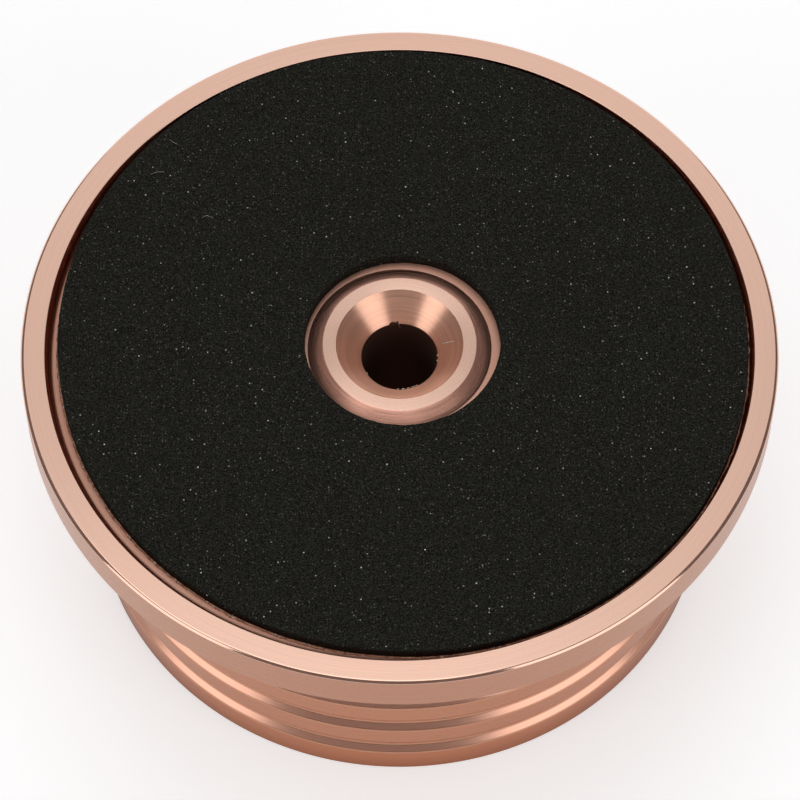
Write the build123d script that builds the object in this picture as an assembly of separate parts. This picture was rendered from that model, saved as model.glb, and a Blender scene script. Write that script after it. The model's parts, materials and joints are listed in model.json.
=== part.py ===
from build123d import *
import os
from math import radians, tan

# Record weight: a body turned from one bar, and a soft pad stuck into the recess of its record face.
# Sizes are in millimetres. It stands on its flat top with the record face up, and the origin is at the
# centre of the face that it stands on.

# Rim, the wide flange round the record face
rim_diameter = 76.0
rim_height = 4.9
rim_chamfer = 0.3
rim_face_width = 2.45
rim_lip_chamfer = 0.1

# Grip, the grooved drum that is held when the weight is lifted
total_height = 32.0
rim_overhang = 5.65
grip_chamfer = 0.3

# Grooves round the grip, as cut by a pointed tool with a blunt nose
groove_count = 3
groove_width = 2.4
groove_depth = 0.64
groove_angle = 90.0
groove_pitch = 5.2
first_groove_height = 5.15

# Recess for the pad
recess_depth = 1.35
recess_corner_radius = 0.9

# Boss in the middle of the recess, and the blind drilled bore for the turntable's spindle
bore_diameter = 7.74
bore_depth = 17.0
drill_point_angle = 118.0
countersink_width = 2.53
countersink_angle = 90.0
boss_face_width = 1.32
boss_shoulder_width = 1.53
boss_height = 0.8

# Pad
pad_thickness = 1.45
pad_edge_clearance = 0.05
pad_hole_clearance = 0.6

# Radii that follow from the sizes above
rim_radius = rim_diameter / 2
grip_radius = rim_radius - rim_overhang
recess_radius = rim_radius - rim_face_width
bore_radius = bore_diameter / 2
countersink_radius = bore_radius + countersink_width
boss_top_radius = countersink_radius + boss_face_width
boss_foot_radius = boss_top_radius + boss_shoulder_width
pad_radius = recess_radius - recess_corner_radius - pad_edge_clearance
pad_hole_radius = boss_foot_radius + pad_hole_clearance

# Heights that follow from the sizes above
rim_underside = total_height - rim_height
recess_floor = total_height - recess_depth
boss_top = recess_floor + boss_height
bore_mouth = boss_top - countersink_width / tan(radians(countersink_angle / 2))
bore_end = bore_mouth - bore_depth
drill_point = bore_end - bore_radius / tan(radians(drill_point_angle / 2))


def corner(section, radius, height):
    """The corner of a flat section that lies nearest to a radius and a height."""
    place = Vector(radius, height)
    return min(section.vertices(), key=lambda vertex: (Vector(vertex) - place).length)


def groove_section(height):
    """A blunt V that runs out through the wall of the grip by as much as it goes in."""
    flare = groove_depth * tan(radians(groove_angle / 2))
    half_root = groove_width / 2 - flare
    half_mouth = groove_width / 2 + flare
    root = grip_radius - groove_depth
    mouth = grip_radius + groove_depth
    return make_face(
        Polyline(
            (root, height - half_root),
            (mouth, height - half_mouth),
            (mouth, height + half_mouth),
            (root, height + half_root),
            close=True,
        )
    )


def body_section():
    """Half of the body's section, with the radius across and the height up."""
    section = make_face(
        Polyline(
            (0, 0),
            (grip_radius, 0),
            (grip_radius, rim_underside),
            (rim_radius, rim_underside),
            (rim_radius, total_height),
            (recess_radius, total_height),
            (recess_radius, recess_floor),
            (boss_foot_radius, recess_floor),
            (boss_top_radius, boss_top),
            (countersink_radius, boss_top),
            (bore_radius, bore_mouth),
            (bore_radius, bore_end),
            (0, drill_point),
            close=True,
        )
    )
    for index in range(groove_count):
        section -= groove_section(first_groove_height + index * groove_pitch)
    section = chamfer(corner(section, rim_radius, total_height), rim_chamfer)
    section = chamfer(corner(section, rim_radius, rim_underside), rim_chamfer)
    section = chamfer(corner(section, recess_radius, total_height), rim_lip_chamfer)
    section = chamfer(corner(section, grip_radius, 0), grip_chamfer)
    return fillet(corner(section, recess_radius, recess_floor), recess_corner_radius)


def make_weight_body():
    return revolve(Plane.XZ * body_section(), axis=Axis.Z)


def make_record_pad():
    ring = Circle(pad_radius) - Circle(pad_hole_radius)
    return Pos(0, 0, recess_floor) * extrude(ring, amount=pad_thickness)


os.makedirs("parts", exist_ok=True)
export_step(make_weight_body(), "parts/weight_body.step")
export_step(make_record_pad(), "parts/record_pad.step")
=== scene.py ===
import json
import math

import bpy
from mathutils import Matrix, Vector, noise


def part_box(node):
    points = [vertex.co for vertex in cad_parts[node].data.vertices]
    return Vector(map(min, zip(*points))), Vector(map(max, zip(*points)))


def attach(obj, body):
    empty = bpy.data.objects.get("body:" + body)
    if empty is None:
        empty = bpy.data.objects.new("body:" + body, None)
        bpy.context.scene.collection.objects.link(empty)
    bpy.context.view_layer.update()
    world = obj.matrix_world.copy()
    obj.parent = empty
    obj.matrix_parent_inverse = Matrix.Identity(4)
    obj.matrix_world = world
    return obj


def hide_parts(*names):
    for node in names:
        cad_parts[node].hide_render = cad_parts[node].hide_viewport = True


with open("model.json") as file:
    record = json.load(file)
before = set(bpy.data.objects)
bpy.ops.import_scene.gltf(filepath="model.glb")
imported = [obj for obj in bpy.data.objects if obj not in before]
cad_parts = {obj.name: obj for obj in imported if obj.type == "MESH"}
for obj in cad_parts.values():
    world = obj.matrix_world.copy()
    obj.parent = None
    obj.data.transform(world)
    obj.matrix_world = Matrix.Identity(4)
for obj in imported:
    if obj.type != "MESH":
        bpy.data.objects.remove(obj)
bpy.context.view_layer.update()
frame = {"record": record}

# Record weight, standing on its flat top with the record face up. Lengths are in metres.
MM = 0.001
body_low, body_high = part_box("weight_body")
pad_low, pad_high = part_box("record_pad")
spindle_bore = frame["record"]["mounts"][0]

# Section of the turned body, from the frame and from its own sizes
RIM_RADIUS = body_high.x
TOP = body_high.z
FOOT = body_low.z
RIM_HEIGHT = 4.9 * MM
RIM_FACE_WIDTH = 2.45 * MM
RIM_OVERHANG = 5.65 * MM
RIM_CHAMFER = 0.22 * MM
GRIP_CHAMFER = 0.3 * MM
GROOVE_COUNT = 3
GROOVE_WIDTH = 2.6 * MM
GROOVE_DEPTH = 0.72 * MM
GROOVE_PITCH = 5.2 * MM
FIRST_GROOVE_HEIGHT = 5.02 * MM
RECESS_FLOOR = pad_low.z
RECESS_CORNER = 0.9 * MM
BORE_RADIUS = spindle_bore["dims"]["r_mm"] * MM
BORE_LENGTH = spindle_bore["dims"]["length_mm"] * MM
COUNTERSINK_WIDTH = 2.53 * MM
BOSS_FACE_WIDTH = 1.32 * MM
BOSS_SHOULDER_WIDTH = 1.53 * MM
BOSS_HEIGHT = 0.8 * MM
SHOULDER_TOP_SLOPE = math.radians(24)
SHOULDER_FOOT_SLOPE = math.radians(31.5)
SHOULDER_ARC_SHARE = 0.9
DRILL_POINT_ANGLE = math.radians(118)

# Radii and heights that follow
GRIP_RADIUS = RIM_RADIUS - RIM_OVERHANG
RECESS_RADIUS = RIM_RADIUS - RIM_FACE_WIDTH
RIM_UNDERSIDE = TOP - RIM_HEIGHT
BOSS_TOP = RECESS_FLOOR + BOSS_HEIGHT
COUNTERSINK_RADIUS = BORE_RADIUS + COUNTERSINK_WIDTH
BOSS_TOP_RADIUS = COUNTERSINK_RADIUS + BOSS_FACE_WIDTH
BOSS_FOOT_RADIUS = BOSS_TOP_RADIUS + BOSS_SHOULDER_WIDTH
BORE_MOUTH = BOSS_TOP - COUNTERSINK_WIDTH
BORE_END = BORE_MOUTH - BORE_LENGTH
DRILL_POINT = BORE_END - BORE_RADIUS / math.tan(DRILL_POINT_ANGLE / 2)

# Radii to which the edges of the section are eased
RIM_FACE_EDGE = 0.36 * MM
RIM_WALL_EDGE = 0.08 * MM
LIP_EDGE = 0.1 * MM
GRIP_EDGE = 0.12 * MM
NECK_CORNER = 0.4 * MM
GROOVE_LIP = 0.45 * MM
GROOVE_ROOT = 0.45 * MM
BOSS_EDGE = 0.12 * MM
BOSS_CREASE = 0.2 * MM
BORE_EDGE = 0.05 * MM

# Where one finish of the body, with its painted shade or highlight, passes into the next
FACE_MARGIN = 0.01 * MM
BOSS_FACE_MARGIN = 0.005 * MM
RECESS_WALL_START = 0.03 * MM
GROOVE_EDGE_BAND = 0.13 * MM
RIM_EDGE_BAND = 1.5 * RIM_CHAMFER

# Chips in the bore's edge, each with its angle from the front, half its width in degrees and its depth
CHIP_REACH = 0.28 * MM
CHIP_RINGS = 7
CHIP_RAGGED = 0.8
CHIP_NOISE_RATE = 40
CHIP_SEED = 0.5
BELOW_CHIPS = 1.3 * CHIP_REACH
BORE_CHIPS = (
    (-169.5, 5.5, 0.17 * MM),
    (-176.2, 2.4, 0.19 * MM),
)

# Burrs that stand on the bore's edge, each from one angle to another
BURR_RADIUS = 0.035 * MM
BURR_SEAT = 0.02 * MM
BURR_LEAN = 0.12 * MM
BURR_RISE = 0.10 * MM
EDGE_BURRS = (
    (-4, -1),
    (3, 8),
    (11, 15),
    (17, 20),
    (20.5, 24),
    (25, 28.5),
    (-61, -57),
    (81, 84),
    (90, 93.5),
)

# A sliver that hangs into the bore: each point's way outward and upward from the edge, and its angle
SLIVER = (
    (0.02 * MM, 0.05 * MM, -178.6),
    (-0.15 * MM, -0.3 * MM, -179.6),
    (-0.08 * MM, -0.7 * MM, 178.8),
)

# Pad, as it is stuck in: pressed down, off centre, a little oval, and cut by hand
PAD_PRESSED = 0.06 * MM
PAD_TOP = pad_high.z - PAD_PRESSED
PAD_MEAN_RADIUS = 34.82 * MM
PAD_SHIFT = Vector((0.315 * MM, 0.44 * MM))
PAD_OVAL = 0.324 * MM
PAD_OVAL_ANGLE = math.radians(30)
PAD_EDGE_SEED = 7.7
PAD_HOLE_RADIUS = 9.85 * MM
PAD_HOLE_SHIFT = Vector((0.30 * MM, 0.20 * MM))
PAD_HOLE_SEED = 3.1
PAD_EDGE = 0.12 * MM
PAD_TOP_RINGS = 24
PAD_EDGE_STEPS = 5

# Waves of noise in the pad's cut edges: how strong each is, and how many there are
PAD_RAGGED = 0.05 * MM
PAD_WAVES = ((1, 9), (0.6, 60))

# Glue that has come out from under the pad, most at the front left, where the recess shows beside it
GLUE_SPILL = 0.18 * MM
GLUE_LEAST_SPILL = 0.15
GLUE_WAVES = ((0.8, 7), (0.9, 45), (0.5, 120))
GLUE_TUCK = 0.05 * MM
GLUE_LEAST_WIDTH = 0.02 * MM
GLUE_WALL_GAP = 0.2 * MM
GLUE_HEIGHT = 0.07 * MM
GLUE_CREST_PLACE = 0.6
GLUE_CREST_HEIGHT = 0.8 * GLUE_HEIGHT

# Strands, the form of burrs, fibres and specks: steps along, sides round, and how thin the tips are
STRAND_STEPS = 10
STRAND_SIDES = 6
TIP_THICKNESS = 0.4
TIP_PHASE = 0.1

# Dust fibres: start, bend and end of each, as places on the pad or on the wall of the countersink
FIBRE_RADIUS = 0.013 * MM
CONE_FIBRE_RADIUS = 0.038 * MM
PAD_FIBRES = (
    ((-25.64, 19.88), (-25.03, 20.40), (-24.21, 20.19)),
    ((-23.71, 24.14), (-23.30, 23.80), (-22.97, 23.65)),
    ((-20.20, 14.63), (-19.70, 15.15), (-19.12, 14.56)),
    ((-13.30, 4.10), (-13.00, 4.30), (-12.80, 4.00)),
    ((8.00, -22.20), (8.20, -21.95), (8.40, -22.10)),
)
CONE_FIBRE = ((4.30, 1.13), (4.90, 1.00), (5.55, 0.76))

# Specks at the roots of the grooves: angle from the front in degrees, and height
SPECK_RADIUS = 0.055 * MM
SPECK_SPREAD = 0.15
GRIP_SPECKS = (
    (-1.6, 4.50 * MM),
    (8.4, 9.75 * MM),
)

# Fineness of the round pieces
SEGMENTS = 512
ARC_STEP = math.radians(9)

# Turning marks: how far their noise moves along a mark in one radian, and how they vary tint and gloss
MARK_DRIFT = 0.16 * MM
MARK_DETAIL = 3
MARK_LOW = 0.3
MARK_HIGH = 0.7
GLOSS_SPREAD = 0.15
QUARTER_TURN = 0.25

# Colours of the soft pieces and of the stage
FOAM_DARK = (0.0052, 0.0052, 0.0040)
FOAM_LIGHT = (0.040, 0.040, 0.0315)
FOAM_GLINT = (0.145, 0.142, 0.127)
FOAM_DUST = (0.80, 0.78, 0.72)
GLUE_DARK = (0.24, 0.09, 0.04)
GLUE_LIGHT = (0.62, 0.34, 0.20)
GLUE_DUST = (0.85, 0.78, 0.70)
LINT_DARK = (0.55, 0.53, 0.50)
LINT_LIGHT = (0.85, 0.83, 0.79)
FLOOR_WHITE = (0.66, 0.675, 0.682)
CARD_GREY = (0.345, 0.308, 0.307)

# Values of the noise between which the foam's grain and the patches of glue and lint change colour
GRAIN_LOW = 0.38
GRAIN_HIGH = 0.80
PATCH_LOW = 0.35
PATCH_HIGH = 0.65

# Full strength of a speck of dust, as a share of its radius
SPECK_CORE = 0.4

# Floor: its reach, its glow, and how the glow fades in the metal close to the foot
FLOOR_REACH = 20.0
FLOOR_GLOW = 0.55
FOOT_SHADE = 0.35
FOOT_SHADE_WIDTH = 2.3 * MM

# Grey cards round the object: first and last angle from the front, lowest and highest elevation
CARD_DISTANCE = 1.0
CARD_STEPS = 12
CARDS = (
    ("card_front", -39, 26, 4, 46),
    ("card_right", 68, 150, 4, 62),
    ("card_left", -150, -72, 4, 64),
    ("canopy_right", 12, 68, 46, 66),
    ("canopy_left", -72, 12, 46, 73),
)

# Lamp above, which shines straight down
TOP_LAMP_PLACE = (-0.27, 0.02, 1.25)
TOP_LAMP_TARGET = (-0.27, 0.02, 0)

# Lamps at the sides: angle from the front, and width
SIDE_LAMP_DISTANCE = 0.95
SIDE_LAMP_HEIGHT = 0.5
SIDE_LAMPS = (
    ("lamp_right", 47, 0.73),
    ("lamp_left", -55.5, 0.563),
)

# Camera: in front of the axis, above the record face, and looking down by an angle
CAMERA_BACK = 0.19359
CAMERA_RISE = 0.32458
CAMERA_DIP = 60.086
CAMERA_SENSOR = 36
CAMERA_LENS = 169.5
CAMERA_SHIFT = 0.0005


def rounded(corners):
    """Points along a section, with each corner turned into an arc of its own radius."""
    points = [Vector(corners[0][:2])]
    for before, (radius, height, easing), after in zip(corners, corners[1:], corners[2:]):
        corner = Vector((radius, height))
        if easing == 0:
            points.append(corner)
            continue
        to_before = (Vector(before[:2]) - corner).normalized()
        to_after = (Vector(after[:2]) - corner).normalized()
        half = to_before.angle(to_after) / 2
        centre = corner + (to_before + to_after).normalized() * easing / math.sin(half)
        first_arm = corner + to_before * easing / math.tan(half) - centre
        last_arm = corner + to_after * easing / math.tan(half) - centre
        steps = math.ceil((math.pi - 2 * half) / ARC_STEP)
        for step in range(steps + 1):
            points.append(centre + first_arm.slerp(last_arm, step / steps) * easing)
    points.append(Vector(corners[-1][:2]))
    return points


def groove_corners(middle):
    """A blunt groove in the grip with flanks at 45 degrees, eased at its lips and its root."""
    half_mouth = GROOVE_WIDTH / 2
    half_root = half_mouth - GROOVE_DEPTH
    root = GRIP_RADIUS - GROOVE_DEPTH
    return [
        (GRIP_RADIUS, middle - half_mouth, GROOVE_LIP),
        (root, middle - half_root, GROOVE_ROOT),
        (root, middle + half_root, GROOVE_ROOT),
        (GRIP_RADIUS, middle + half_mouth, GROOVE_LIP),
    ]


def shoulder_corner():
    """The corner whose arc makes the round shoulder of the boss."""
    top, foot = math.tan(SHOULDER_TOP_SLOPE), math.tan(SHOULDER_FOOT_SLOPE)
    run = (BOSS_SHOULDER_WIDTH * foot - BOSS_HEIGHT) / (foot - top)
    shorter_arm = (BOSS_SHOULDER_WIDTH - run) / math.cos(SHOULDER_FOOT_SLOPE)
    half_turn = (SHOULDER_FOOT_SLOPE - SHOULDER_TOP_SLOPE) / 2
    easing = SHOULDER_ARC_SHARE * shorter_arm / math.tan(half_turn)
    return BOSS_TOP_RADIUS + run, BOSS_TOP - run * top, easing


def body_section():
    """Corners of the body's section, from the middle of its foot round to the point of the bore."""
    corners = [
        (0, FOOT, 0),
        (GRIP_RADIUS - GRIP_CHAMFER, FOOT, GRIP_EDGE),
        (GRIP_RADIUS, FOOT + GRIP_CHAMFER, GRIP_EDGE),
    ]
    for index in range(GROOVE_COUNT):
        corners += groove_corners(FIRST_GROOVE_HEIGHT + index * GROOVE_PITCH)
    corners += [
        (GRIP_RADIUS, RIM_UNDERSIDE, NECK_CORNER),
        (RIM_RADIUS - RIM_CHAMFER, RIM_UNDERSIDE, RIM_FACE_EDGE),
        (RIM_RADIUS, RIM_UNDERSIDE + RIM_CHAMFER, RIM_WALL_EDGE),
        (RIM_RADIUS, TOP - RIM_CHAMFER, RIM_WALL_EDGE),
        (RIM_RADIUS - RIM_CHAMFER, TOP, RIM_FACE_EDGE),
        (RECESS_RADIUS, TOP, LIP_EDGE),
        (RECESS_RADIUS, RECESS_FLOOR, RECESS_CORNER),
        (BOSS_FOOT_RADIUS, RECESS_FLOOR, BOSS_CREASE),
        shoulder_corner(),
        (BOSS_TOP_RADIUS, BOSS_TOP, BOSS_EDGE),
        (COUNTERSINK_RADIUS, BOSS_TOP, BORE_EDGE),
    ]
    for ring in range(CHIP_RINGS, 0, -1):
        rise = CHIP_REACH * ring / CHIP_RINGS
        corners.append((BORE_RADIUS + rise, BORE_MOUTH + rise, 0))
    return corners + [
        (BORE_RADIUS, BORE_MOUTH, 0),
        (BORE_RADIUS, BORE_MOUTH - CHIP_REACH, 0),
        (BORE_RADIUS, BORE_MOUTH - BELOW_CHIPS, 0),
        (BORE_RADIUS, BORE_END, BORE_EDGE),
        (0, DRILL_POINT, 0),
    ]


def around(radius, height, angle):
    """A point at an angle from the front of the object, positive to the right."""
    return Vector((radius * math.sin(angle), -radius * math.cos(angle), height))


def chip_depth(angle):
    """How far the edge of the bore is broken away at an angle."""
    depth_here = 0
    for middle, half_width, depth in BORE_CHIPS:
        offset = abs((math.degrees(angle) - middle + 180) % 360 - 180) / half_width
        if offset < 1:
            place = Vector((angle * CHIP_NOISE_RATE, middle, CHIP_SEED))
            ragged = 1 + CHIP_RAGGED * noise.noise(place)
            depth_here = max(depth_here, depth * ragged * math.sqrt(1 - offset))
    return depth_here


def worn(radius, height, angle):
    """A point of the body, moved outward where it lies in a chip of the bore's edge."""
    if radius < BORE_RADIUS + CHIP_REACH and abs(height - BORE_MOUTH) < CHIP_REACH:
        share = min(1, 1 - (BORE_MOUTH - height) / CHIP_REACH)
        radius = max(radius, BORE_RADIUS + chip_depth(angle) * share)
    return around(radius, height, angle)


def add_mesh(name, points, faces):
    """A smoothly shaded object made of points and faces."""
    mesh = bpy.data.meshes.new(name)
    mesh.from_pydata(points, [], faces)
    mesh.shade_smooth()
    piece = bpy.data.objects.new(name, mesh)
    bpy.context.scene.collection.objects.link(piece)
    return piece


def turned(name, section):
    """A solid of revolution whose section starts and ends on the axis."""
    angles = [2 * math.pi * k / SEGMENTS for k in range(SEGMENTS)]
    middle = section[1:-1]
    points = [worn(radius, height, angle) for radius, height in middle for angle in angles]
    faces = []
    for ring in range(len(middle) - 1):
        low = ring * SEGMENTS
        for k in range(SEGMENTS):
            following = (k + 1) % SEGMENTS
            faces.append((low + k, low + following, low + SEGMENTS + following, low + SEGMENTS + k))
    foot = len(points)
    last = foot - SEGMENTS
    points += [Vector((0, 0, section[0].y)), Vector((0, 0, section[-1].y))]
    for k in range(SEGMENTS):
        following = (k + 1) % SEGMENTS
        faces.append((foot, following, k))
        faces.append((foot + 1, last + k, last + following))
    return add_mesh(name, points, faces)


def finish_and_painted_light_at(place):
    """Name of the finish, with its painted shade or highlight, that the body has at a place on its
    surface.
    """
    radius, height = place.xy.length, place.z
    if radius > RIM_RADIUS - RIM_EDGE_BAND and height > TOP - RIM_EDGE_BAND:
        return "rim_edge"
    if height > TOP - LIP_EDGE:
        return "faced_rim"
    if radius > RECESS_RADIUS + FACE_MARGIN:
        return "rim_wall"
    if height > RECESS_FLOOR + RECESS_WALL_START and radius > RECESS_RADIUS - RECESS_CORNER:
        return "recess_wall"
    if height > BOSS_TOP - BOSS_FACE_MARGIN:
        return "boss_face"
    above_foot = height > FOOT + GRIP_CHAMFER
    bore_side = BORE_RADIUS + chip_depth(math.atan2(place.x, -place.y)) + FACE_MARGIN
    if radius < bore_side and above_foot:
        return "drilled_bore_and_shade"
    if height > BORE_MOUTH and radius < COUNTERSINK_RADIUS:
        return "cone_cut_and_highlight"
    if height > BORE_MOUTH and radius < BOSS_FOOT_RADIUS:
        return "shoulder_cut"
    if height > BORE_MOUTH:
        return "recess_floor" if radius < PAD_MEAN_RADIUS / 2 else "recess_margin"
    if radius < GRIP_RADIUS - FACE_MARGIN and above_foot:
        on_flank = GROOVE_EDGE_BAND < GRIP_RADIUS - radius < GROOVE_DEPTH - GROOVE_EDGE_BAND
        return "groove_cut_and_highlight" if on_flank else "groove_edge"
    # Below the first groove the grip takes the darker, warmer colour: painted shadow near the foot.
    return "grip_wall" if height > FIRST_GROOVE_HEIGHT else "grip_foot_shade"


def cut_edge(angle, mean, shift, oval, seed):
    """Radius of a hand-cut edge of the pad at an angle, measured from the body's axis."""
    towards = around(1, 0, angle)
    radius = mean + shift.x * towards.x + shift.y * towards.y
    radius += oval * math.cos(2 * (angle - PAD_OVAL_ANGLE))
    place = Vector((towards.x, towards.y, seed))
    for strength, rate in PAD_WAVES:
        radius += PAD_RAGGED * strength * noise.noise(place * rate)
    return radius


def pad_hole(angle):
    """Radius of the pad's hole at an angle."""
    return cut_edge(angle, PAD_HOLE_RADIUS, PAD_HOLE_SHIFT, 0, PAD_HOLE_SEED)


def pad_edge(angle):
    """Radius of the pad's outer edge at an angle."""
    return cut_edge(angle, PAD_MEAN_RADIUS, PAD_SHIFT, PAD_OVAL, PAD_EDGE_SEED)


def recess_height(radius):
    """Height of the recess at a radius: flat, then up round its corner."""
    run = max(0.0, radius - (RECESS_RADIUS - RECESS_CORNER))
    return RECESS_FLOOR + RECESS_CORNER - math.sqrt(max(0.0, RECESS_CORNER ** 2 - run ** 2))


def ring_solid(name, section_at):
    """A closed ring, from a function that gives its section at an angle, inside first, over the top."""
    columns = []
    for k in range(2 * SEGMENTS):
        angle = math.pi * k / SEGMENTS
        columns.append([around(radius, height, angle) for radius, height in section_at(angle)])
    points = [point for column in columns for point in column]
    size = len(columns[0])
    faces = []
    for k in range(len(columns)):
        here = k * size
        there = (k + 1) % len(columns) * size
        for step in range(size):
            following = (step + 1) % size
            faces.append((here + step, here + following, there + following, there + step))
    return add_mesh(name, points, faces)


def pad_section(angle):
    """The foam's section: a flat top, softly rounded edges and an underside that follows the recess."""
    hole, outer = pad_hole(angle), pad_edge(angle)
    flat_width = outer - hole - 2 * PAD_EDGE
    turns = [math.pi / 2 * step / PAD_EDGE_STEPS for step in range(PAD_EDGE_STEPS + 1)]
    section = [(hole, recess_height(hole))]
    for turn in turns:
        inward = PAD_EDGE * (1 - math.cos(turn))
        drop = PAD_EDGE * (1 - math.sin(turn))
        section.append((hole + inward, PAD_TOP - drop))
    for step in range(1, PAD_TOP_RINGS):
        section.append((hole + PAD_EDGE + flat_width * step / PAD_TOP_RINGS, PAD_TOP))
    for turn in turns:
        inward = PAD_EDGE * (1 - math.sin(turn))
        drop = PAD_EDGE * (1 - math.cos(turn))
        section.append((outer - inward, PAD_TOP - drop))
    section.append((outer, recess_height(outer)))
    section.append((outer - RECESS_CORNER, recess_height(outer - RECESS_CORNER)))
    return section


def glue_section(angle):
    """A low ragged bead at the pad's foot."""
    towards = around(1, 0, angle)
    spread = 1
    for strength, rate in GLUE_WAVES:
        spread += strength * noise.noise(towards * rate)
    inside = pad_edge(angle) - GLUE_TUCK
    spill = GLUE_SPILL * max(GLUE_LEAST_SPILL, spread)
    outside = min(inside + GLUE_TUCK + spill, RECESS_RADIUS - GLUE_WALL_GAP)
    inside = min(inside, outside - GLUE_LEAST_WIDTH)
    crest = inside * (1 - GLUE_CREST_PLACE) + outside * GLUE_CREST_PLACE
    return [
        (inside, recess_height(inside)),
        (inside, recess_height(inside) + GLUE_HEIGHT),
        (crest, recess_height(crest) + GLUE_CREST_HEIGHT),
        (outside, recess_height(outside)),
    ]


def bent_tube(start, bend, end, radius):
    """Points and faces of one thin strand, bent towards a point."""
    steps, sides = STRAND_STEPS, STRAND_SIDES
    points = []
    for step in range(steps + 1):
        share = step / steps
        middle = start * (1 - share) ** 2 + bend * 2 * share * (1 - share) + end * share ** 2
        along = ((bend - start) * (1 - share) + (end - bend) * share).normalized()
        across = along.cross(Vector((0, 0, 1))).normalized()
        upward = across.cross(along)
        swell = math.sin(math.pi * (TIP_PHASE + (1 - 2 * TIP_PHASE) * share))
        thickness = radius * (TIP_THICKNESS + (1 - TIP_THICKNESS) * swell)
        for side in range(sides):
            turn = 2 * math.pi * side / sides
            points.append(middle + (across * math.cos(turn) + upward * math.sin(turn)) * thickness)
    faces = [tuple(range(sides)), tuple(reversed(range(steps * sides, (steps + 1) * sides)))]
    for step in range(steps):
        here, there = step * sides, (step + 1) * sides
        for side in range(sides):
            following = (side + 1) % sides
            faces.append((here + side, there + side, there + following, here + following))
    return points, faces


def strands(name, routes):
    """A piece made of thin strands, from the start, the bend, the end and the radius of each."""
    points, faces = [], []
    for start, bend, end, radius in routes:
        new_points, new_faces = bent_tube(start, bend, end, radius)
        faces += [tuple(index + len(points) for index in face) for face in new_faces]
        points += new_points
    return add_mesh(name, points, faces)


def make_fibres():
    """The dust that lies on the pad, in the countersink and on the grip, as one piece."""
    routes = []
    for angle, height in GRIP_SPECKS:
        radius = GRIP_RADIUS - GROOVE_DEPTH + SPECK_RADIUS
        start = around(radius, height, math.radians(angle - SPECK_SPREAD))
        bend = around(radius, height + SPECK_RADIUS, math.radians(angle))
        end = around(radius, height, math.radians(angle + SPECK_SPREAD))
        routes.append((start, bend, end, SPECK_RADIUS))
    for route in PAD_FIBRES:
        places = [Vector((x * MM, y * MM, PAD_TOP + FIBRE_RADIUS)) for x, y in route]
        routes.append((*places, FIBRE_RADIUS))
    cone_places = []
    for x, y in CONE_FIBRE:
        place = Vector((x * MM, y * MM))
        height = BORE_MOUTH + place.length - BORE_RADIUS + CONE_FIBRE_RADIUS
        cone_places.append(Vector((place.x, place.y, height)))
    routes.append((*cone_places, CONE_FIBRE_RADIUS))
    return strands("dust_fibres", routes)


def beside_bore(outward, upward, degrees):
    """A point near the bore's edge."""
    return around(BORE_RADIUS + outward, BORE_MOUTH + upward, math.radians(degrees))


def make_burrs():
    """The burrs on the bore's edge and the sliver that hangs from it at the back, as one piece."""
    routes = []
    for first, last in EDGE_BURRS:
        start = beside_bore(-BURR_SEAT, BURR_SEAT, first)
        bend = beside_bore(-BURR_LEAN, BURR_RISE, (first + last) / 2)
        end = beside_bore(-BURR_SEAT, BURR_SEAT, last)
        routes.append((start, bend, end, BURR_RADIUS))
    sliver = [beside_bore(*place) for place in SLIVER]
    routes.append((*sliver, BURR_RADIUS))
    return strands("edge_burrs", routes)


def new_material(name):
    """A new material with its nodes, its links and its shader."""
    material = bpy.data.materials.new(name)
    material.use_nodes = True
    nodes = material.node_tree.nodes
    return material, nodes, material.node_tree.links, nodes["Principled BSDF"]


def object_place(nodes):
    """The place of a point on its own object."""
    return nodes.new("ShaderNodeTexCoord").outputs["Object"]


def combined(nodes, links, operation, first, second):
    """Two values put together by a sum, a product or the like. The second may be a plain number."""
    node = nodes.new("ShaderNodeMath")
    node.operation = operation
    links.new(first, node.inputs[0])
    if isinstance(second, (int, float)):
        node.inputs[1].default_value = second
    else:
        links.new(second, node.inputs[1])
    return node.outputs[0]


def vector_step(nodes, links, operation, source):
    """A node that works on a vector, which is already linked to it."""
    node = nodes.new("ShaderNodeVectorMath")
    node.operation = operation
    links.new(source, node.inputs[0])
    return node


def turning_coordinate(nodes, links):
    """A coordinate that changes fast across the turning marks and slowly along them, round the axis."""
    place = object_place(nodes)
    flat = vector_step(nodes, links, "MULTIPLY", place)
    flat.inputs[1].default_value = (1, 1, 0)
    radius = vector_step(nodes, links, "LENGTH", flat.outputs[0])
    outward = vector_step(nodes, links, "NORMALIZE", flat.outputs[0])
    along = vector_step(nodes, links, "SCALE", outward.outputs[0])
    along.inputs["Scale"].default_value = MARK_DRIFT
    height = nodes.new("ShaderNodeSeparateXYZ")
    links.new(place, height.inputs[0])
    across = combined(nodes, links, "ADD", radius.outputs["Value"], height.outputs["Z"])
    upright = nodes.new("ShaderNodeCombineXYZ")
    links.new(across, upright.inputs["Z"])
    ring = vector_step(nodes, links, "ADD", along.outputs[0])
    links.new(upright.outputs[0], ring.inputs[1])
    return ring.outputs[0]


def noise_of(nodes, links, coordinate, size, detail):
    """A noise whose features have about a given size."""
    texture = nodes.new("ShaderNodeTexNoise")
    texture.inputs["Scale"].default_value = 1 / size
    texture.inputs["Detail"].default_value = detail
    links.new(coordinate, texture.inputs["Vector"])
    return texture.outputs["Fac"]


def colour_between(nodes, links, value, low, low_colour, high, high_colour):
    """A colour that goes from one to another as a value goes from low to high."""
    ramp = nodes.new("ShaderNodeValToRGB")
    ramp.color_ramp.elements[0].position = low
    ramp.color_ramp.elements[0].color = (*low_colour, 1)
    ramp.color_ramp.elements[1].position = high
    ramp.color_ramp.elements[1].color = (*high_colour, 1)
    links.new(value, ramp.inputs["Fac"])
    return ramp.outputs["Color"]


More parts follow.
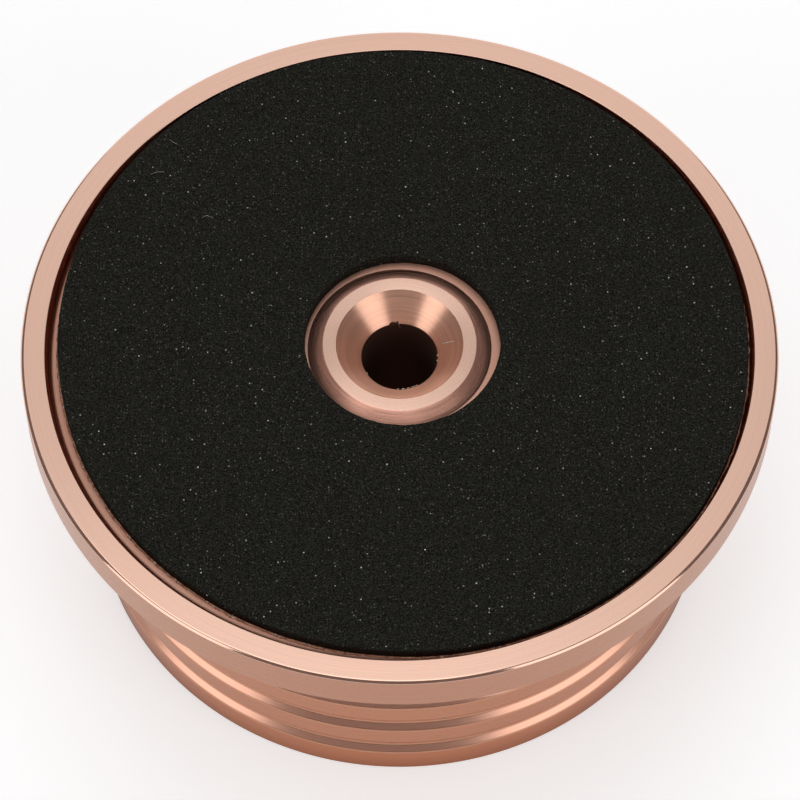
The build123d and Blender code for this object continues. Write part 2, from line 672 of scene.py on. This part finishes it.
def mixed_colour(nodes, links, amount, base, other):
    """A colour mixed with one that is given by its numbers."""
    mix = nodes.new("ShaderNodeMix")
    mix.data_type = "RGBA"
    links.new(amount, mix.inputs["Factor"])
    links.new(base, mix.inputs["A"])
    mix.inputs["B"].default_value = (*other, 1)
    return mix.outputs["Result"]


def pale_specks(nodes, links, coordinate, spacing, radius, rarity):
    """Amount of dust at a point: round specks, of which fewer are strong the higher the rarity."""
    cells = nodes.new("ShaderNodeTexVoronoi")
    cells.inputs["Scale"].default_value = 1 / spacing
    links.new(coordinate, cells.inputs["Vector"])
    near = nodes.new("ShaderNodeMapRange")
    near.inputs["From Min"].default_value = radius / spacing
    near.inputs["From Max"].default_value = SPECK_CORE * radius / spacing
    links.new(cells.outputs["Distance"], near.inputs["Value"])
    chance = nodes.new("ShaderNodeSeparateColor")
    links.new(cells.outputs["Color"], chance.inputs[0])
    strength = combined(nodes, links, "POWER", chance.outputs[0], rarity)
    return combined(nodes, links, "MULTIPLY", near.outputs[0], strength)


def add_bump(nodes, links, height, depth, shader):
    """Let a value raise the surface that a shader shows."""
    bump = nodes.new("ShaderNodeBump")
    bump.inputs["Distance"].default_value = depth
    links.new(height, bump.inputs["Height"])
    links.new(bump.outputs[0], shader.inputs["Normal"])


def shaded(colour, factor):
    """A colour made darker or lighter."""
    return tuple(factor * channel for channel in colour)


def anodised_metal(name, colour, roughness, anisotropy, mark_size, mark_depth, streaks=0.03):
    """Rose gold anodised aluminium over turning marks that run round the axis and vary its tint."""
    material, nodes, links, shader = new_material(name)
    shader.inputs["Metallic"].default_value = 1
    shader.inputs["Anisotropic"].default_value = anisotropy
    shader.inputs["Anisotropic Rotation"].default_value = QUARTER_TURN
    tangent = nodes.new("ShaderNodeTangent")
    tangent.direction_type = "RADIAL"
    tangent.axis = "Z"
    links.new(tangent.outputs[0], shader.inputs["Tangent"])
    marks = noise_of(nodes, links, turning_coordinate(nodes, links), mark_size, MARK_DETAIL)
    darker, lighter = shaded(colour, 1 - streaks), shaded(colour, 1 + streaks)
    tint = colour_between(nodes, links, marks, MARK_LOW, darker, MARK_HIGH, lighter)
    links.new(tint, shader.inputs["Base Color"])
    add_bump(nodes, links, marks, mark_depth, shader)
    gloss = nodes.new("ShaderNodeMapRange")
    gloss.inputs["To Min"].default_value = roughness * (1 - GLOSS_SPREAD)
    gloss.inputs["To Max"].default_value = roughness * (1 + GLOSS_SPREAD)
    links.new(marks, gloss.inputs["Value"])
    links.new(gloss.outputs[0], shader.inputs["Roughness"])
    return material


def pad_foam():
    """Matt black foam with a fine grain, small glints and pale specks of dust."""
    material, nodes, links, shader = new_material("pad_foam")
    place = object_place(nodes)
    grain = noise_of(nodes, links, place, size=0.16 * MM, detail=2)
    black = colour_between(nodes, links, grain, GRAIN_LOW, FOAM_DARK, GRAIN_HIGH, FOAM_LIGHT)
    glints = pale_specks(nodes, links, place, spacing=0.30 * MM, radius=0.09 * MM, rarity=3)
    glinting = mixed_colour(nodes, links, glints, black, FOAM_GLINT)
    specks = pale_specks(nodes, links, place, spacing=0.62 * MM, radius=0.095 * MM, rarity=6)
    dusty = mixed_colour(nodes, links, specks, glinting, FOAM_DUST)
    links.new(dusty, shader.inputs["Base Color"])
    add_bump(nodes, links, grain, depth=0.04 * MM, shader=shader)
    shader.inputs["Roughness"].default_value = 0.9
    shader.inputs["Specular IOR Level"].default_value = 0.08
    return material


def glue():
    """Set glue, brown and clear in places, with dust on it."""
    material, nodes, links, shader = new_material("dusty_glue")
    place = object_place(nodes)
    patches = noise_of(nodes, links, place, size=0.5 * MM, detail=3)
    brown = colour_between(nodes, links, patches, PATCH_LOW, GLUE_DARK, PATCH_HIGH, GLUE_LIGHT)
    specks = pale_specks(nodes, links, place, spacing=0.35 * MM, radius=0.17 * MM, rarity=1.2)
    dusty = mixed_colour(nodes, links, specks, brown, GLUE_DUST)
    links.new(dusty, shader.inputs["Base Color"])
    shader.inputs["Roughness"].default_value = 0.45
    return material


def dust():
    """Pale lint."""
    material, nodes, links, shader = new_material("pale_lint")
    patches = noise_of(nodes, links, object_place(nodes), size=0.3 * MM, detail=2)
    pale = colour_between(nodes, links, patches, PATCH_LOW, LINT_DARK, PATCH_HIGH, LINT_LIGHT)
    links.new(pale, shader.inputs["Base Color"])
    shader.inputs["Roughness"].default_value = 0.9
    return material


def make_matt(shader, colour):
    """Give a shader a plain matt colour."""
    shader.inputs["Base Color"].default_value = (*colour, 1)
    shader.inputs["Roughness"].default_value = 1
    shader.inputs["Specular IOR Level"].default_value = 0


def foot_shade(nodes, links):
    """How much of the floor's glow the metal shows: less in the shadow close to the foot."""
    distance = vector_step(nodes, links, "LENGTH", object_place(nodes))
    shade = nodes.new("ShaderNodeMapRange")
    shade.inputs["From Min"].default_value = GRIP_RADIUS
    shade.inputs["From Max"].default_value = GRIP_RADIUS + FOOT_SHADE_WIDTH
    shade.inputs["To Min"].default_value = FOOT_SHADE
    links.new(distance.outputs["Value"], shade.inputs["Value"])
    return shade.outputs[0]


def white_floor():
    """A pale floor, which glows a little where it is seen directly or in the metal."""
    material, nodes, links, shader = new_material("white_floor")
    make_matt(shader, FLOOR_WHITE)
    path = nodes.new("ShaderNodeLightPath").outputs
    reflected = combined(nodes, links, "MAXIMUM", path["Is Glossy Ray"], path["Is Transmission Ray"])
    shaded_glow = combined(nodes, links, "MULTIPLY", reflected, foot_shade(nodes, links))
    seen = combined(nodes, links, "MAXIMUM", path["Is Camera Ray"], shaded_glow)
    strength = combined(nodes, links, "MULTIPLY", seen, FLOOR_GLOW)
    shader.inputs["Emission Color"].default_value = (1, 1, 1, 1)
    links.new(strength, shader.inputs["Emission Strength"])
    return material


def card_grey():
    """Plain warm grey for the cards."""
    material, *_, shader = new_material("card_grey")
    make_matt(shader, CARD_GREY)
    return material


def softbox(name, place, target, width, height, radiance):
    """A rectangular lamp that looks at a point and has the same brightness all over."""
    lamp = bpy.data.lights.new(name, "AREA")
    lamp.shape = "RECTANGLE"
    lamp.size = width
    lamp.size_y = height
    lamp.energy = math.pi * width * height * radiance
    box = bpy.data.objects.new(name, lamp)
    box.location = place
    box.rotation_euler = (Vector(target) - Vector(place)).to_track_quat("-Z", "Y").to_euler()
    box.visible_camera = False
    bpy.context.scene.collection.objects.link(box)


def curved_card(name, first, last, low, high):
    """A card that stands round the object, between two angles from the front and two elevations."""
    bottom = CARD_DISTANCE * math.tan(math.radians(low))
    top = CARD_DISTANCE * math.tan(math.radians(high))
    angles = [math.radians(first + (last - first) * k / CARD_STEPS) for k in range(CARD_STEPS + 1)]
    points = [around(CARD_DISTANCE, height, angle) for height in (bottom, top) for angle in angles]
    faces = [(k, k + 1, CARD_STEPS + 2 + k, CARD_STEPS + 1 + k) for k in range(CARD_STEPS)]
    card = add_mesh(name, points, faces)
    card.visible_camera = False
    return card


def make_stage():
    """A white floor under a white sky, with grey cards and lamps round and above the object."""
    reach = FLOOR_REACH
    floor = add_mesh(
        "floor",
        [(-reach, -reach, 0), (reach, -reach, 0), (reach, reach, 0), (-reach, reach, 0)],
        [(0, 1, 2, 3)],
    )
    floor.data.materials.append(white_floor())
    warm_grey = card_grey()
    for card in CARDS:
        curved_card(*card).data.materials.append(warm_grey)
    softbox("lamp_above", TOP_LAMP_PLACE, TOP_LAMP_TARGET, width=0.85, height=0.95, radiance=0.8)
    for name, azimuth, width in SIDE_LAMPS:
        place = around(SIDE_LAMP_DISTANCE, SIDE_LAMP_HEIGHT, math.radians(azimuth))
        softbox(name, place, (0, 0, SIDE_LAMP_HEIGHT), width, height=0.95, radiance=0.62)
    world = bpy.data.worlds.new("studio")
    world.use_nodes = True
    background = world.node_tree.nodes["Background"]
    background.inputs["Color"].default_value = (1, 1, 1, 1)
    background.inputs["Strength"].default_value = 1
    bpy.context.scene.world = world


def make_camera():
    """The photograph's view, from the front and well above."""
    data = bpy.data.cameras.new("camera")
    data.sensor_width = CAMERA_SENSOR
    data.lens = CAMERA_LENS
    data.shift_x = CAMERA_SHIFT
    camera = bpy.data.objects.new("camera", data)
    camera.location = (0, -CAMERA_BACK, TOP + CAMERA_RISE)
    camera.rotation_euler = (math.radians(90 - CAMERA_DIP), 0, 0)
    bpy.context.scene.collection.objects.link(camera)
    bpy.context.scene.camera = camera


# Finishes of the metal: colour, roughness, anisotropy, size and depth of the turning marks, streaks.
# The colours are copies of one anodised colour, darker where painted shade stands in for dim
# reflections and lighter where painted highlights stand in for bright ones
FINISHES_AND_PAINTED_LIGHT = (
    anodised_metal("faced_rim", (0.705, 0.455, 0.355), 0.22, 0.6, 0.11 * MM, 0.0004 * MM),
    # The rim's edge is a lighter copy of the rim's colour, a painted highlight for its glint, with a
    # lower roughness of its own.
    anodised_metal("rim_edge", (0.76, 0.48, 0.37), 0.10, 0.2, 0.11 * MM, 0.0005 * MM),
    # The rim's wall and the grip's bands are darker, more saturated copies of the metal's colour:
    # painted shade for the dim floor they reflect.
    anodised_metal("rim_wall", (0.475, 0.232, 0.147), 0.28, 0.5, 0.11 * MM, 0.0007 * MM),
    anodised_metal("grip_wall", (0.50, 0.208, 0.115), 0.28, 0.5, 0.11 * MM, 0.001 * MM),
    # The band at the foot is darker and warmer still: a painted shadow of the contact zone near the
    # floor.
    anodised_metal("grip_foot_shade", (0.53, 0.193, 0.092), 0.26, 0.5, 0.11 * MM, 0.001 * MM),
    # The groove flanks are a lighter copy of the metal's colour: a painted highlight for the lamps they
    # reflect.
    anodised_metal("groove_cut_and_highlight", (0.80, 0.43, 0.31), 0.30, 0.6, 0.11 * MM, 0.001 * MM),
    # The grooves' lips and roots are a darker copy: painted shade that keeps their roots from shining.
    anodised_metal("groove_edge", (0.52, 0.26, 0.17), 0.28, 0.5, 0.11 * MM, 0.001 * MM),
    # The recess wall is a dark red-brown copy of the metal's colour: painted shade in the recess's
    # corner.
    anodised_metal("recess_wall", (0.68, 0.21, 0.125), 0.28, 0.5, 0.11 * MM, 0.003 * MM),
    anodised_metal("recess_margin", (0.60, 0.325, 0.24), 0.34, 0.8, 0.16 * MM, 0.006 * MM),
    anodised_metal("recess_floor", (0.60, 0.36, 0.29), 0.36, 0.8, 0.16 * MM, 0.006 * MM),
    anodised_metal("shoulder_cut", (0.78, 0.415, 0.31), 0.28, 0.55, 0.09 * MM, 0.0055 * MM, 0.15),
    anodised_metal("boss_face", (0.685, 0.445, 0.35), 0.27, 0.84, 0.11 * MM, 0.0015 * MM),
    # The countersink is a lighter copy of the metal's colour: painted highlight for its bright fans.
    anodised_metal("cone_cut_and_highlight", (0.91, 0.53, 0.385), 0.34, 0.85, 0.32 * MM, 0.022 * MM, 0.09),
    # The bore is a dark copy of the metal's colour: painted shade inside the hole.
    anodised_metal("drilled_bore_and_shade", (0.24, 0.135, 0.10), 0.5, 0.3, 0.2 * MM, 0.006 * MM),
)

body = turned("turned_body", rounded(body_section()))
body.modifiers.new("even_normals", "WEIGHTED_NORMAL")
for finish_and_light in FINISHES_AND_PAINTED_LIGHT:
    body.data.materials.append(finish_and_light)
finish_and_light_names = [finish_and_light.name for finish_and_light in FINISHES_AND_PAINTED_LIGHT]
for face in body.data.polygons:
    face.material_index = finish_and_light_names.index(finish_and_painted_light_at(face.center))
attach(body, "root")
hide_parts("weight_body")

pad = ring_solid("foam_pad", pad_section)
pad.data.materials.append(pad_foam())
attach(pad, "root")
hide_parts("record_pad")

bead = ring_solid("glue_bead", glue_section)
bead.data.materials.append(glue())
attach(bead, "root")

burrs = make_burrs()
bare_burr = anodised_metal("bare_burr", (0.90, 0.82, 0.76), 0.45, 0, 0.1 * MM, 0.002 * MM)
burrs.data.materials.append(bare_burr)
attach(burrs, "root")

fibres = make_fibres()
fibres.data.materials.append(dust())
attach(fibres, "root")

make_stage()
make_camera()
bpy.context.scene.view_settings.view_transform = "Standard"
